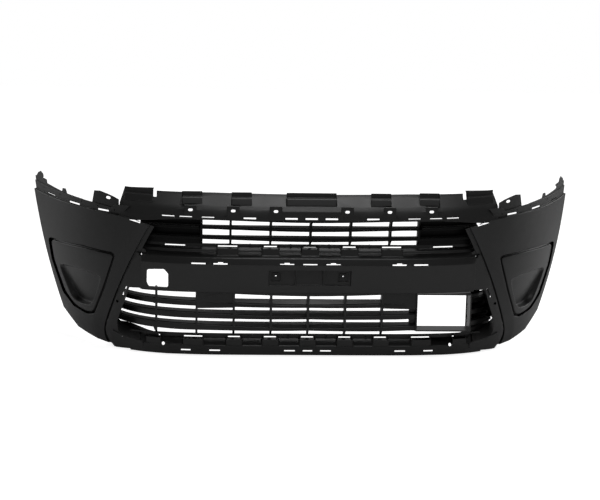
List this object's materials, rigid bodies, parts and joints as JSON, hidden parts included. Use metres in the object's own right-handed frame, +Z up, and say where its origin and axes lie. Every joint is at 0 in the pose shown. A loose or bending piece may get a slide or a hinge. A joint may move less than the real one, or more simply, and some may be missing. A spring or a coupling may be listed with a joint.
{
  "type": "front bumper cover",
  "caption": "Front bumper cover of a car: wings and header with a middle panel, slatted grilles, fog lamp blanks, brackets, clips and screws.",
  "frame": {"origin": "midpoint between the two inner header slots, on the front face of their bosses", "axes": "+X to the right as seen from in front of the car, +Y towards the rear of the car, +Z up"},
  "size_m": [1.7894, 0.5688, 0.531],
  "materials": {
    "cover_plastic": "satin moulded black, unpainted",
    "panel_plastic": "satin moulded black",
    "grille_plastic": "matt moulded black",
    "blank_plastic": "satin moulded black",
    "bracket_plastic": "matt glass-filled plastic",
    "nut_plastic": "moulded nylon",
    "spring_steel": "dark phosphated spring steel",
    "screw_steel": "zinc plated steel"
  },
  "bodies": {
    "root": {"bumper_cover": "cover_plastic", "centre_panel": "panel_plastic", "upper_grille": "grille_plastic", "lower_grille": "grille_plastic", "fog_blank_left": "blank_plastic", "fog_blank_right": "blank_plastic", "headlamp_bracket_left": "bracket_plastic", "headlamp_bracket_right": "bracket_plastic", "wing_retainer_left": "bracket_plastic", "wing_retainer_right": "bracket_plastic", "plate_nut_left": "nut_plastic", "plate_nut_right": "nut_plastic", "fog_blank_clips_left": "spring_steel", "fog_blank_clips_right": "spring_steel", "seam_clips_left": "spring_steel", "seam_clips_right": "spring_steel", "bracket_screws_left": "screw_steel", "bracket_screws_right": "screw_steel", "retainer_screws_left": "screw_steel", "retainer_screws_right": "screw_steel", "upper_grille_screws": "screw_steel", "lower_grille_screws": "screw_steel"}
  },
  "joints": []
}
